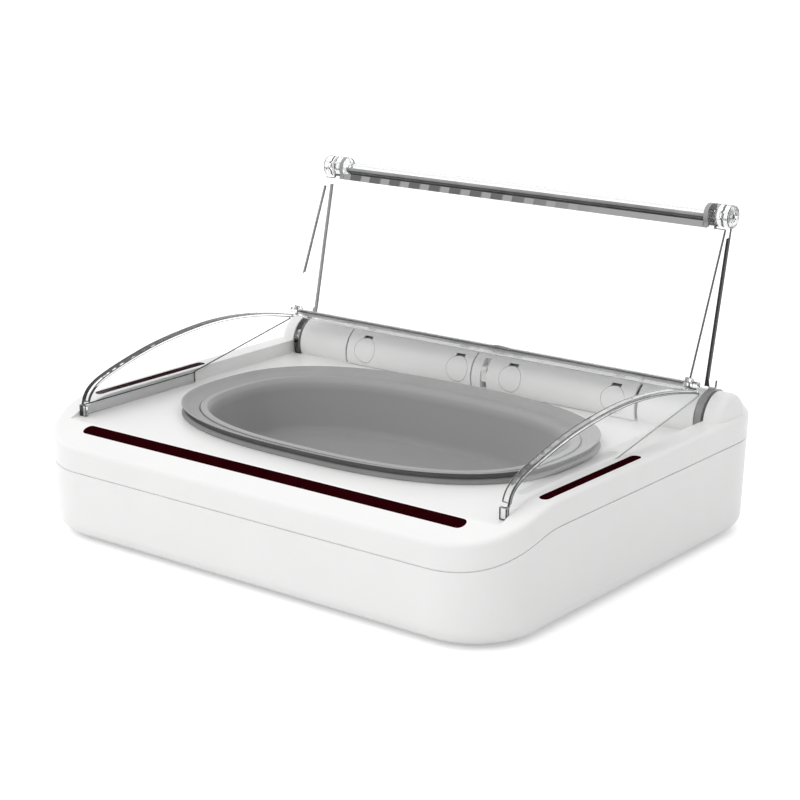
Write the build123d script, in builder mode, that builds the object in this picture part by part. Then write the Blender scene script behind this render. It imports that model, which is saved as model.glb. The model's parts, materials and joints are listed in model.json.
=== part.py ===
from build123d import *
import math
import os

# Motion-activated pet feeder with a clear bi-fold lid.
# Frame: millimetres, +Z up, -Y is the front, origin on the floor under the middle of the body.
# The lid is modelled open, as it stands when a pet is eating.

os.makedirs("parts", exist_ok=True)

# ---------------------------------------------------------------- driving dimensions
body_width = 320.0
body_depth = 268.0
corner_radius = 40.0
wall = 2.4
foot_stand_off = 2.0
tub_draft = 2.0
tub_edge_radius = 9.0
cover_edge_radius = 3.0
seam_reveal = 0.8
roof_slope_limit = 0.3
angle_tolerance = 0.001
seam_gap = 0.7

seam_front_z = 40.2
seam_side_z = 55.3
cover_band = 13.6
slope_front_y = -141.0
slope_rear_y = -78.0
slope_handle = 25.0

tray_z = 61.0
tray_side_inset = 14.0
tray_front_y = -118.0

drum_y = 93.0
drum_z = 67.2
drum_radius = 15.0
drum_end_inset = 20.0
drum_wall = 1.6
drum_end_wall = 2.4
drum_rib = 2.0
drum_centre_half = 7.0

cell_radius = 13.1
cell_length = 50.0
cell_nub_radius = 4.0
cell_nub_length = 1.5
contact_thickness = 0.6
contact_radius = 9.0
contact_spring_length = 3.0
contact_spring_radius = 5.0
contact_wire_radius = 0.5

door_inner_x = 9.0
door_outer_x = 102.0
door_top_angle = 63.0
door_proud = 0.7
door_wall = 1.4
door_gap = 0.3
door_end_gap = 1.7
door_middle_gap = 0.5
catch_radius = 7.5
catch_gap = 0.25
catch_angle = 15.0
catch_outer_x = 88.6
catch_inner_x = 19.0
catch_thickness = 1.1
catch_notch_width = 6.6
catch_notch_depth = 1.5

slot_half_width = 2.2
slot_low_z = 62.4
slot_high_z = 79.2
slot_back_y = 86.0
lever_low_z = 66.2
lever_high_z = 75.0
lever_front_y = 79.0
lever_gap = 0.3
lever_rib_depth = 0.8
lever_rib_height = 1.2

bowl_half_x = 112.2
bowl_half_y = 68.2
bowl_y = -13.7
bowl_rim_z = 64.2
bowl_power = 2.6
bowl_outline_points = 32
bowl_depth = 28.0
bowl_wall = 2.0
bowl_rim_thickness = 1.8
bowl_rim_width = 3.5
bowl_bevel_drop = 6.5
bowl_bevel_width = 3.5
bowl_slope = 13.0
mat_seat_width = 2.1
mat_skirt_wall = 1.5
mat_skirt_depth = 6.0
mat_lip_drop = 0.4
mat_ridge_out = 10.0
mat_ridge_rise = 3.0
mat_ridge_width = 1.4
mat_waist_out = 8.3
mat_waist_rise = 2.6
mat_foot_out = 9.8
mat_foot_edge = 0.8
seat_gap = 0.3
well_gap = 0.4
well_neck = 6.5
well_taper = 14.3
well_floor_gap = 2.0

pivot_clearance = 0.05

crown_y = 110.3
crown_z = 174.9
rear_panel_foot_y = 92.8
rear_panel_foot_z = 84.0
front_pin_y = 75.3
front_pin_z = 89.0
panel_thickness = 2.2
panel_offset = 2.4
panel_side_inset = 20.2
panel_fold_gap = 0.5
panel_wide_length = 4.0
front_lip_length = 7.0
front_lip_angle = 40.0
cheek_radius = 15.8
cheek_gap = 1.2
cheek_thickness = 3.8
knuckle_radius = 6.3
knuckle_reach = 13.4
knuckle_split_reach = 6.2
knuckle_overhang = 1.8
knuckle_gap = 0.3
hinge_rod_radius = 1.6
barrel_radius = 3.3
follower_radius = 1.7
follower_ear_radius = 3.2
follower_ear_width = 3.2
follower_overhang = 4.6

guard_foot_y = -103.6
guard_edge = (
    (-101.5, 69.5),
    (-98.8, 74.6),
    (-93.0, 78.9),
    (-83.5, 82.6),
    (-64.3, 87.8),
    (-47.6, 91.4),
    (-22.0, 94.7),
    (0.0, 96.1),
    (22.4, 95.4),
    (50.1, 91.9),
    (74.0, 86.7),
)
guard_web_top_z = 67.5
guard_heel_y = -12.0
guard_heel_z = 67.4
guard_lower_rear_z = 83.4
guard_wall = 1.9
guard_flange = 5.4
guard_flange_thickness = 1.8

pocket_side_inset = 13.8
pocket_gap = 0.7
cradle_wall = 3.6
cradle_end_wall = 2.4
boss_side_inset = 3.0
boss_wall = 1.4
boss_hollow_gap = 0.6
boss_end_radius = 5.0
hinge_pin_radius = 2.5
hinge_pin_reach = 1.4
hinge_pin_side_inset = 6.2

gear_module = 1.0
drive_teeth = 24
idler_teeth = 20
pinion_teeth = 8
gear_side_inset = 10.8
gear_thickness = 4.4
gear_backlash = 0.5
gear_mesh_gap = 0.35
gear_tip_factor = 0.85
gear_root_factor = 1.1
gear_tip_width = 0.55
gear_root_width = 1.35
axle_radius = 1.5
axle_over = 0.8
motor_radius = 11.0
motor_length = 32.0
motor_shaft_radius = 1.0
motor_shaft_engage = 6.0
motor_shaft_clear = 0.4
frame_side_inset = 13.6
frame_thickness = 2.2
frame_front_y = 80.0
frame_rear_y = 106.0
frame_foot_z = 17.0
frame_shelf_length = 34.4
frame_leg_width = 6.0
frame_leg_inset = 5.4

front_window_inset = 30.6
front_window_width = 7.0
front_window_y = -115.0
side_window_inset = 7.8
side_window_width = 6.0
side_window_front_y = -84.5
side_window_rear_y = 2.5
ir_board_width = 7.0
ir_board_inset = 14.0
ir_board_drop = 2.4
ir_board_thickness = 1.2
emitter_radius = 1.6
front_emitters = 7
side_emitters = 3

button_radius = 6.5
button_angle = 118.0
button_inner = 11.5
button_proud = 1.4
button_edge = 0.8
button_travel = 1.5
button_gap = 0.25
switch_floor = 7.0
switch_size = 6.0
lamp_radius = 1.3
lamp_angle = 75.0
lamp_depth = 3.0

board_z = 12.0
board_thickness = 1.6
board_x = -62.0
board_y = 84.0
board_length = 90.0
board_width = 46.0
chip_columns = 3
chip_rows = 2
chip_fill = 0.45
board_post_inset = 5.0
board_post_radius = 2.5
chip_height = 1.8

post_side_inset = 28.0
post_front_y = -106.0
post_rear_y = 120.0
post_radius = 4.5
screw_radius = 1.6
screw_head_radius = 3.1
screw_head_gap = 0.2
screw_head_height = 2.0
screw_seat_z = 30.0
screw_length = 29.0

foot_side_inset = 42.0
foot_y = 92.0
foot_radius = 8.0
foot_recess = 1.0

# ---------------------------------------------------------------- values worked out from them
half_width = body_width / 2
half_depth = body_depth / 2
tray_half_width = half_width - tray_side_inset
drum_half_length = half_width - drum_end_inset
panel_half_width = half_width - panel_side_inset
cheek_inner_x = panel_half_width + cheek_gap
cheek_outer_x = cheek_inner_x + cheek_thickness
knuckle_inner_x = panel_half_width - knuckle_reach
knuckle_split_x = panel_half_width - knuckle_split_reach
knuckle_outer_x = panel_half_width + knuckle_overhang
follower_outer_x = panel_half_width + follower_overhang
pocket_outer_x = half_width - pocket_side_inset
boss_outer_x = half_width - boss_side_inset
hinge_pin_inner_x = panel_half_width - hinge_pin_reach
hinge_pin_outer_x = half_width - hinge_pin_side_inset
gear_inner_x = half_width - gear_side_inset
gear_outer_x = gear_inner_x + gear_thickness
frame_inner_x = half_width - frame_side_inset
frame_shelf_x = frame_inner_x - frame_shelf_length
frame_leg_outer_x = frame_inner_x - frame_leg_inset
front_window_half = half_width - front_window_inset
side_window_x = half_width - side_window_inset
post_x = half_width - post_side_inset
foot_x = half_width - foot_side_inset
tub_floor_z = foot_stand_off + wall
deck_z = seam_side_z + cover_band
door_radius = drum_radius + door_proud
door_low_angle = math.degrees(math.asin((tray_z + door_gap - drum_z) / door_radius))
drum_bore = drum_radius - drum_wall
bay_inner_x = drum_centre_half
bay_outer_x = bay_inner_x + contact_thickness + 2 * cell_length + contact_spring_length
cradle_radius = drum_radius + cradle_wall
pocket_radius = cheek_radius + pocket_gap
cradle_half_length = pocket_outer_x + cradle_end_wall
gear_drive_radius = gear_module * drive_teeth / 2
gear_idler_radius = gear_module * idler_teeth / 2
gear_pinion_radius = gear_module * pinion_teeth / 2
idler_z = drum_z - gear_drive_radius - gear_idler_radius - gear_mesh_gap / 2
pinion_z = idler_z - gear_idler_radius - gear_pinion_radius - gear_mesh_gap / 2
bowl_seat_z = bowl_rim_z - bowl_rim_thickness
bowl_bevel_z = bowl_rim_z - bowl_bevel_drop
bowl_floor_z = bowl_rim_z - bowl_depth
bowl_bevel_inset = bowl_rim_width + bowl_bevel_width
bowl_floor_inset = bowl_bevel_inset + bowl_slope
mat_skirt_inset = mat_seat_width - mat_skirt_wall
mat_waist_z = tray_z + mat_waist_rise
mat_ridge_z = bowl_rim_z + mat_ridge_rise
well_inset = mat_skirt_inset - well_gap
well_neck_z = tray_z - well_neck
well_floor_z = bowl_floor_z - bowl_wall - well_floor_gap
post_places = [(side * post_x, y) for side in (-1, 1) for y in (post_front_y, post_rear_y)]
foot_places = [(side * foot_x, end * foot_y) for side in (-1, 1) for end in (-1, 1)]
board_post_places = [
    (
        board_x + side * (board_length / 2 - board_post_inset),
        board_y + end * (board_width / 2 - board_post_inset),
    )
    for side in (-1, 1)
    for end in (-1, 1)
]
reach = 2 * max(body_width, body_depth)


# ---------------------------------------------------------------- shared shapes
def slope_band(low_offset, high_offset):
    """Side-on region between the seam line moved up by two offsets, on the YZ plane."""
    with BuildSketch(Plane.YZ.offset(-half_width)) as band:
        with BuildLine():
            low = [
                (-reach, seam_front_z + low_offset),
                (slope_front_y, seam_front_z + low_offset),
            ]
            Line(low[0], low[1])
            Bezier(
                low[1],
                (slope_front_y + slope_handle, seam_front_z + low_offset),
                (slope_rear_y - slope_handle, seam_side_z + low_offset),
                (slope_rear_y, seam_side_z + low_offset),
            )
            Line((slope_rear_y, seam_side_z + low_offset), (reach, seam_side_z + low_offset))
            Line((reach, seam_side_z + low_offset), (reach, seam_side_z + high_offset))
            Line((reach, seam_side_z + high_offset), (slope_rear_y, seam_side_z + high_offset))
            Bezier(
                (slope_rear_y, seam_side_z + high_offset),
                (slope_rear_y - slope_handle, seam_side_z + high_offset),
                (slope_front_y + slope_handle, seam_front_z + high_offset),
                (slope_front_y, seam_front_z + high_offset),
            )
            Line((slope_front_y, seam_front_z + high_offset), (-reach, seam_front_z + high_offset))
            Line((-reach, seam_front_z + high_offset), low[0])
        make_face()
    return band.sketch


def oval(inset, z):
    """Bowl outline, a superellipse moved inwards by inset, at height z."""
    points = []
    for step in range(bowl_outline_points):
        turn = 2 * math.pi * step / bowl_outline_points
        cosine, sine = math.cos(turn), math.sin(turn)
        across = (bowl_half_x - inset) * math.copysign(abs(cosine) ** (2 / bowl_power), cosine)
        along = (bowl_half_y - inset) * math.copysign(abs(sine) ** (2 / bowl_power), sine)
        points.append((across, bowl_y + along))
    with BuildSketch(Plane.XY.offset(z)) as outline:
        with BuildLine():
            Spline(*points, periodic=True)
        make_face()
    return outline.sketch


def body_form(inset, floor_z, edge_radius):
    """Outside form of the body moved inwards by inset: drafted sides and a rounded bottom edge."""
    with BuildPart() as form:
        with BuildSketch(Plane.XY.offset(deck_z)):
            RectangleRounded(body_width - 2 * inset, body_depth - 2 * inset, corner_radius - inset)
        extrude(amount=floor_z - deck_z, taper=tub_draft)
        fillet(form.faces().sort_by(Axis.Z)[0].edges(), radius=edge_radius)
    return form.part


def rod(radius, x_start, x_end, y, z, mode=Mode.ADD):
    """Round bar lying along X between two X values."""
    low, high = sorted((x_start, x_end))
    with BuildSketch(Plane.YZ.offset(low)) as disc:
        with Locations((y, z)):
            Circle(radius)
    extrude(disc.sketch, amount=high - low, mode=mode)


def block(x_range, y_range, z_range, mode=Mode.ADD):
    """Square-cornered block between two X, two Y and two Z values."""
    x_low, x_high = sorted(x_range)
    y_low, y_high = sorted(y_range)
    z_low, z_high = sorted(z_range)
    with BuildSketch(Plane.XY.offset(z_low)) as base:
        with Locations(((x_low + x_high) / 2, (y_low + y_high) / 2)):
            Rectangle(x_high - x_low, y_high - y_low)
    extrude(base.sketch, amount=z_high - z_low, mode=mode)


def post(radius, x, y, z_low, z_high, mode=Mode.ADD):
    """Upright round post."""
    with BuildSketch(Plane.XY.offset(z_low)) as disc:
        with Locations((x, y)):
            Circle(radius)
    extrude(disc.sketch, amount=z_high - z_low, mode=mode)


def profile(points, x_start, x_end, mode=Mode.ADD):
    """Straight-sided outline on the YZ plane, extruded along X."""
    low, high = sorted((x_start, x_end))
    with BuildSketch(Plane.YZ.offset(low)) as outline:
        with BuildLine():
            Polyline(*points, close=True)
        make_face()
    extrude(outline.sketch, amount=high - low, mode=mode)


def drum_ring(inner, outer, low_angle, high_angle, x_start, x_end, mode=Mode.ADD):
    """Part of a tube about the drum axis; angles rise from the front to the top."""
    low, high = sorted((x_start, x_end))
    middle = math.radians((low_angle + high_angle) / 2)
    start, end = math.radians(low_angle), math.radians(high_angle)

    def at(radius, angle):
        return (drum_y - radius * math.cos(angle), drum_z + radius * math.sin(angle))

    with BuildSketch(Plane.YZ.offset(low)) as ring:
        with BuildLine():
            ThreePointArc(at(outer, start), at(outer, middle), at(outer, end))
            Line(at(outer, end), at(inner, end))
            ThreePointArc(at(inner, end), at(inner, middle), at(inner, start))
            Line(at(inner, start), at(outer, start))
        make_face()
    extrude(ring.sketch, amount=high - low, mode=mode)


def window_prism(name, mode=Mode.ADD):
    """Upright stadium prism of one sensor window."""
    if name == "front":
        length = 2 * front_window_half
        width = front_window_width
        centre, turn = (0, front_window_y), 0
    else:
        side = 1 if name == "right" else -1
        length = side_window_rear_y - side_window_front_y
        width = side_window_width
        centre = (side * side_window_x, (side_window_front_y + side_window_rear_y) / 2)
        turn = 90
    with BuildSketch(Plane.XY) as outline:
        with Locations(centre):
            SlotOverall(length, width, rotation=turn)
    extrude(outline.sketch, amount=reach, mode=mode)


def catch_plane(x):
    """Plane on the drum axis that faces straight out through a door catch."""
    tilt = math.radians(catch_angle)
    return Plane(
        origin=(x, drum_y, drum_z),
        x_dir=(1, 0, 0),
        z_dir=(0, -math.cos(tilt), math.sin(tilt)),
    )


def gear_sketch(radius, teeth, y, z, phase):
    """Spur gear outline with straight-flanked teeth thinned by the backlash."""
    tip = radius + gear_module * gear_tip_factor
    root = radius - gear_module * gear_root_factor
    pitch_half = (math.pi * gear_module / 2 - gear_backlash) / 2 / radius
    tip_half = pitch_half * gear_tip_width
    root_half = pitch_half * gear_root_width
    points = []
    for tooth in range(teeth):
        centre = math.radians(phase) + 2 * math.pi * tooth / teeth
        for size, turn in (
            (root, -root_half),
            (tip, -tip_half),
            (tip, tip_half),
            (root, root_half),
        ):
            angle = centre + turn
            points.append((y + size * math.cos(angle), z + size * math.sin(angle)))
    with BuildSketch(Plane.YZ.offset(gear_inner_x)) as outline:
        with BuildLine():
            Polyline(*points, close=True)
        make_face()
    return outline.sketch


# ---------------------------------------------------------------- base tub
tub_outside = body_form(0, foot_stand_off, tub_edge_radius)
tub_inside = body_form(wall, tub_floor_z, tub_edge_radius - wall)
seam_inside = body_form(seam_reveal, foot_stand_off, tub_edge_radius)

with BuildPart() as tub_cavity:
    add(tub_inside)
    for x, y in post_places:
        post(post_radius, x, y, 0, reach, mode=Mode.SUBTRACT)

with BuildPart() as seam_groove:
    add(tub_outside)
    add(seam_inside, mode=Mode.SUBTRACT)
    extrude(slope_band(-seam_gap, 0), amount=body_width, mode=Mode.INTERSECT)

with BuildPart() as base_tub:
    add(tub_outside)
    extrude(slope_band(-reach, 0), amount=body_width, mode=Mode.INTERSECT)
    add(tub_cavity.part, mode=Mode.SUBTRACT)
    add(seam_groove.part, mode=Mode.SUBTRACT)
    for x, y in post_places:
        post(screw_radius, x, y, 0, reach, mode=Mode.SUBTRACT)
        post(screw_head_radius, x, y, 0, screw_seat_z, mode=Mode.SUBTRACT)
    for x, y in foot_places:
        post(foot_radius, x, y, 0, foot_stand_off + foot_recess, mode=Mode.SUBTRACT)
    for x, y in board_post_places:
        post(board_post_radius, x, y, tub_floor_z, board_z)
base_tub.part.label = "base_tub"
export_step(base_tub.part, "parts/base_tub.step")


# ---------------------------------------------------------------- top cover
def is_along_x(edge):
    """True for an edge that runs straight across the body."""
    return abs(abs(edge.tangent_at(0.5).X) - 1) < angle_tolerance


with BuildPart() as end_boss:
    rod(drum_radius, pocket_outer_x, boss_outer_x, drum_y, drum_z)
    fillet(end_boss.faces().sort_by(Axis.X)[-1].edges(), radius=boss_end_radius)
    block((0, reach), (-reach, reach), (-reach, deck_z - wall), mode=Mode.SUBTRACT)

with BuildPart() as feeder_well:
    extrude(oval(well_inset - bowl_wall, well_neck_z), amount=tray_z - well_neck_z)
    loft(
        [
            oval(well_inset - bowl_wall, well_neck_z),
            oval(well_inset - bowl_wall + well_taper, well_floor_z - bowl_wall),
        ],
        ruled=True,
    )

with BuildPart() as well_hollow:
    extrude(oval(well_inset, well_neck_z), amount=deck_z - well_neck_z)
    loft(
        [oval(well_inset, well_neck_z), oval(well_inset + well_taper, well_floor_z)],
        ruled=True,
    )

with BuildPart() as cover_cavity:
    add(body_form(wall, tub_floor_z, tub_edge_radius - wall))
    extrude(slope_band(-reach, cover_band - wall), amount=body_width, mode=Mode.INTERSECT)
    tray_outer_x = tray_half_width + wall
    block(
        (-tray_outer_x, tray_outer_x),
        (tray_front_y, drum_y),
        (tray_z - wall, deck_z),
        mode=Mode.SUBTRACT,
    )
    add(feeder_well.part, mode=Mode.SUBTRACT)
    rod(cradle_radius, -cradle_half_length, cradle_half_length, drum_y, drum_z, mode=Mode.SUBTRACT)
    for x, y in post_places:
        post(post_radius, x, y, 0, reach, mode=Mode.SUBTRACT)

with BuildPart() as top_cover:
    add(tub_outside)
    extrude(slope_band(0, cover_band), amount=body_width, mode=Mode.INTERSECT)
    roof = top_cover.faces().filter_by(lambda face: face.normal_at().Z > roof_slope_limit)
    rim_edges = [
        edge
        for edge in roof.edges()
        if edge.center().Z > seam_front_z and not is_along_x(edge)
        or abs(edge.center().Y) > half_depth - wall
    ]
    fillet(rim_edges, radius=cover_edge_radius)
    add(cover_cavity.part, mode=Mode.SUBTRACT)
    block(
        (-tray_half_width, tray_half_width),
        (tray_front_y, drum_y),
        (tray_z, reach),
        mode=Mode.SUBTRACT,
    )
    add(well_hollow.part, mode=Mode.SUBTRACT)
    add(end_boss.part)
    add(mirror(end_boss.part, about=Plane.YZ, mode=Mode.PRIVATE))
    rod(drum_radius, -drum_half_length, drum_half_length, drum_y, drum_z, mode=Mode.SUBTRACT)
    for side in (-1, 1):
        rod(
            pocket_radius,
            side * drum_half_length,
            side * pocket_outer_x,
            drum_y,
            drum_z,
            mode=Mode.SUBTRACT,
        )
        rod(
            hinge_pin_radius + pivot_clearance,
            side * pocket_outer_x,
            side * cradle_half_length,
            drum_y,
            drum_z,
            mode=Mode.SUBTRACT,
        )
        rod(
            drum_radius - boss_wall,
            side * cradle_half_length,
            side * (gear_outer_x + boss_hollow_gap),
            drum_y,
            drum_z,
            mode=Mode.SUBTRACT,
        )
    for name in ("front", "left", "right"):
        window_prism(name, mode=Mode.SUBTRACT)
    for x, y in post_places:
        post(screw_radius, x, y, 0, screw_seat_z + screw_length, mode=Mode.SUBTRACT)
top_cover.part.label = "top_cover"
export_step(top_cover.part, "parts/top_cover.step")


# ---------------------------------------------------------------- sensor windows and their boards
def window_spots(name):
    """Places of the emitters under one window."""
    if name == "front":
        run = front_window_half - 2 * ir_board_inset
        steps = range(front_emitters)
        return [
            (-run + 2 * run * step / (front_emitters - 1), front_window_y) for step in steps
        ]
    side = 1 if name == "right" else -1
    middle = (side_window_front_y + side_window_rear_y) / 2
    run = (side_window_rear_y - side_window_front_y) / 2 - ir_board_inset
    steps = range(side_emitters)
    return [
        (side * side_window_x, middle - run + 2 * run * step / (side_emitters - 1))
        for step in steps
    ]


def board_prism(name):
    """Upright prism of the board under one window."""
    spots = window_spots(name)
    low, high = spots[0], spots[-1]
    end = ir_board_inset / 2
    if name == "front":
        block(
            (low[0] - end, high[0] + end),
            (low[1] - ir_board_width / 2, low[1] + ir_board_width / 2),
            (0, reach),
        )
    else:
        block(
            (low[0] - ir_board_width / 2, low[0] + ir_board_width / 2),
            (low[1] - end, high[1] + end),
            (0, reach),
        )


for name in ("front", "left", "right"):
    roof_under = cover_band - wall
    with BuildPart() as ir_window:
        window_prism(name)
        extrude(slope_band(roof_under, cover_band), amount=body_width, mode=Mode.INTERSECT)
    ir_window.part.label = f"ir_window_{name}"
    export_step(ir_window.part, f"parts/ir_window_{name}.step")

    board_top = roof_under - ir_board_drop
    with BuildPart() as ir_board:
        board_prism(name)
        extrude(
            slope_band(board_top - ir_board_thickness, board_top),
            amount=body_width,
            mode=Mode.INTERSECT,
        )
    with BuildPart() as ir_emitters:
        for x, y in window_spots(name):
            post(emitter_radius, x, y, 0, reach)
        extrude(slope_band(board_top, roof_under), amount=body_width, mode=Mode.INTERSECT)
    with BuildPart() as ir_unit:
        add(ir_board.part)
        add(ir_emitters.part)
    ir_unit.part.label = f"ir_board_{name}"
    export_step(ir_unit.part, f"parts/ir_board_{name}.step")

# ---------------------------------------------------------------- drum across the back
button_plane = Plane(
    origin=(0, drum_y, drum_z),
    x_dir=(1, 0, 0),
    z_dir=(0, -math.cos(math.radians(button_angle)), math.sin(math.radians(button_angle))),
)
lamp_plane = Plane(
    origin=(0, drum_y, drum_z),
    x_dir=(1, 0, 0),
    z_dir=(0, -math.cos(math.radians(lamp_angle)), math.sin(math.radians(lamp_angle))),
)

with BuildPart() as drum_housing:
    rod(drum_radius, -drum_half_length, drum_half_length, drum_y, drum_z)
    for side in (-1, 1):
        rod(drum_bore, side * bay_inner_x, side * bay_outer_x, drum_y, drum_z, mode=Mode.SUBTRACT)
        rod(
            drum_bore,
            side * (bay_outer_x + drum_rib),
            side * (drum_half_length - drum_end_wall),
            drum_y,
            drum_z,
            mode=Mode.SUBTRACT,
        )
        rod(
            hinge_pin_radius + pivot_clearance,
            side * (drum_half_length - drum_end_wall),
            side * drum_half_length,
            drum_y,
            drum_z,
            mode=Mode.SUBTRACT,
        )
        drum_ring(
            cell_radius,
            2 * drum_radius,
            door_low_angle - math.degrees(door_gap / drum_radius),
            door_top_angle + math.degrees(door_gap / drum_radius),
            side * (door_inner_x - door_middle_gap),
            side * (door_outer_x + door_end_gap),
            mode=Mode.SUBTRACT,
        )
    block(
        (-slot_half_width, slot_half_width),
        (drum_y - 2 * drum_radius, slot_back_y),
        (slot_low_z, slot_high_z),
        mode=Mode.SUBTRACT,
    )
    with BuildSketch(button_plane.offset(switch_floor)):
        Circle(button_radius + button_gap)
    extrude(amount=drum_radius, mode=Mode.SUBTRACT)
    with BuildSketch(lamp_plane.offset(drum_radius - lamp_depth)):
        Circle(lamp_radius)
    extrude(amount=drum_radius, mode=Mode.SUBTRACT)
drum_housing.part.label = "drum_housing"
export_step(drum_housing.part, "parts/drum_housing.step")

with BuildPart() as open_button:
    with BuildSketch(button_plane.offset(button_inner)):
        Circle(button_radius)
    extrude(amount=drum_radius + button_proud - button_inner)
    outward = Axis((0, 0, 0), button_plane.z_dir)
    fillet(open_button.faces().sort_by(outward)[-1].edges(), radius=button_edge)
open_button.part.label = "open_close_button"
export_step(open_button.part, "parts/open_close_button.step")

with BuildPart() as button_switch:
    with BuildSketch(button_plane.offset(switch_floor)):
        Rectangle(switch_size, switch_size)
    extrude(amount=button_inner - button_travel - button_gap - switch_floor)
button_switch.part.label = "button_switch"
export_step(button_switch.part, "parts/button_switch.step")

with BuildPart() as battery_lamp:
    with BuildSketch(lamp_plane.offset(drum_radius - lamp_depth)):
        Circle(lamp_radius)
    extrude(amount=lamp_depth)
battery_lamp.part.label = "battery_lamp"
export_step(battery_lamp.part, "parts/battery_lamp.step")

with BuildPart() as release_lever:
    block(
        (-(slot_half_width - lever_gap), slot_half_width - lever_gap),
        (lever_front_y, slot_back_y - lever_gap),
        (lever_low_z, lever_high_z),
    )
    block(
        (-(slot_half_width - lever_gap), slot_half_width - lever_gap),
        (lever_front_y - lever_rib_depth, lever_front_y),
        (lever_high_z - 2 * lever_rib_height, lever_high_z - lever_rib_height),
    )
release_lever.part.label = "lid_release_lever"
export_step(release_lever.part, "parts/lid_release_lever.step")


# ---------------------------------------------------------------- batteries, contacts and doors
for side, name in ((-1, "left"), (1, "right")):
    cell_start = bay_inner_x + contact_thickness
    for index, place in enumerate(("inner", "outer")):
        start = cell_start + index * cell_length
        can_end = start + cell_length - cell_nub_length
        with BuildPart() as cell:
            rod(cell_radius, side * start, side * can_end, drum_y, drum_z)
            rod(cell_nub_radius, side * can_end, side * (can_end + cell_nub_length), drum_y, drum_z)
        cell.part.label = f"battery_cell_{name}_{place}"
        export_step(cell.part, f"parts/battery_cell_{name}_{place}.step")

    spring_start = cell_start + 2 * cell_length
    with BuildPart() as contacts:
        rod(contact_radius, side * bay_inner_x, side * cell_start, drum_y, drum_z)
        rod(contact_spring_radius, side * spring_start, side * bay_outer_x, drum_y, drum_z)
        rod(
            contact_spring_radius - 2 * contact_wire_radius,
            side * spring_start,
            side * (bay_outer_x - contact_thickness),
            drum_y,
            drum_z,
            mode=Mode.SUBTRACT,
        )
    contacts.part.label = f"battery_contacts_{name}"
    export_step(contacts.part, f"parts/battery_contacts_{name}.step")

    with BuildPart() as door:
        drum_ring(
            door_radius - door_wall,
            door_radius,
            door_low_angle,
            door_top_angle,
            side * door_inner_x,
            side * door_outer_x,
        )
        for catch_x in (side * catch_inner_x, side * catch_outer_x):
            with BuildSketch(catch_plane(catch_x)):
                Circle(catch_radius + catch_gap)
            extrude(amount=2 * drum_radius, mode=Mode.SUBTRACT)
            with BuildSketch(catch_plane(catch_x)):
                with Locations((0, catch_radius)):
                    Rectangle(catch_notch_width, 2 * catch_notch_depth)
            extrude(amount=2 * drum_radius, mode=Mode.SUBTRACT)
    door.part.label = f"battery_door_{name}"
    export_step(door.part, f"parts/battery_door_{name}.step")

    for place, catch_x in (("inner", side * catch_inner_x), ("outer", side * catch_outer_x)):
        with BuildPart() as catch:
            with BuildSketch(catch_plane(catch_x)):
                Circle(catch_radius)
            extrude(amount=2 * drum_radius)
            drum_ring(
                door_radius - catch_thickness,
                door_radius,
                door_low_angle,
                door_top_angle,
                catch_x - 2 * catch_radius,
                catch_x + 2 * catch_radius,
                mode=Mode.INTERSECT,
            )
        catch.part.label = f"door_catch_{name}_{place}"
        export_step(catch.part, f"parts/door_catch_{name}_{place}.step")


# ---------------------------------------------------------------- bowl and mat
with BuildPart() as bowl:
    extrude(oval(0, bowl_seat_z), amount=bowl_rim_thickness)
    loft(
        [
            oval(bowl_bevel_inset - bowl_wall, bowl_bevel_z),
            oval(bowl_rim_width - bowl_wall / 2, bowl_seat_z),
        ],
        ruled=True,
    )
    loft(
        [
            oval(bowl_floor_inset - bowl_wall, bowl_floor_z - bowl_wall),
            oval(bowl_bevel_inset - bowl_wall, bowl_bevel_z),
        ],
        ruled=True,
    )
    loft(
        [oval(bowl_bevel_inset, bowl_bevel_z), oval(bowl_rim_width, bowl_rim_z)],
        ruled=True,
        mode=Mode.SUBTRACT,
    )
    loft(
        [oval(bowl_floor_inset, bowl_floor_z), oval(bowl_bevel_inset, bowl_bevel_z)],
        ruled=True,
        mode=Mode.SUBTRACT,
    )
bowl.part.label = "bowl"
export_step(bowl.part, "parts/bowl.step")

with BuildPart() as bowl_mat:
    extrude(oval(-mat_foot_out, tray_z), amount=mat_foot_edge)
    loft([oval(-mat_foot_out, tray_z + mat_foot_edge), oval(-mat_waist_out, mat_waist_z)], ruled=True)
    loft([oval(-mat_waist_out, mat_waist_z), oval(-mat_ridge_out, mat_ridge_z)], ruled=True)
    loft(
        [
            oval(-seat_gap, bowl_rim_z - mat_lip_drop),
            oval(mat_ridge_width - mat_ridge_out, mat_ridge_z),
        ],
        ruled=True,
        mode=Mode.SUBTRACT,
    )
    extrude(oval(mat_skirt_inset, tray_z - mat_skirt_depth), amount=mat_skirt_depth)
    extrude(oval(-seat_gap, bowl_seat_z), amount=bowl_rim_thickness, mode=Mode.SUBTRACT)
    extrude(
        oval(mat_seat_width, tray_z - mat_skirt_depth),
        amount=mat_skirt_depth + bowl_rim_z - tray_z,
        mode=Mode.SUBTRACT,
    )
bowl_mat.part.label = "bowl_mat"
export_step(bowl_mat.part, "parts/bowl_mat.step")


# ---------------------------------------------------------------- clear side guards
def underside(points, depth):
    """Curve that runs below the given points at a depth square to it."""
    moved = []
    for index, point in enumerate(points):
        before = points[max(index - 1, 0)]
        after = points[min(index + 1, len(points) - 1)]
        length = math.dist(before, after)
        across = ((after[1] - before[1]) / length, (before[0] - after[0]) / length)
        moved.append((point[0] + depth * across[0], point[1] + depth * across[1]))
    return moved


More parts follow.
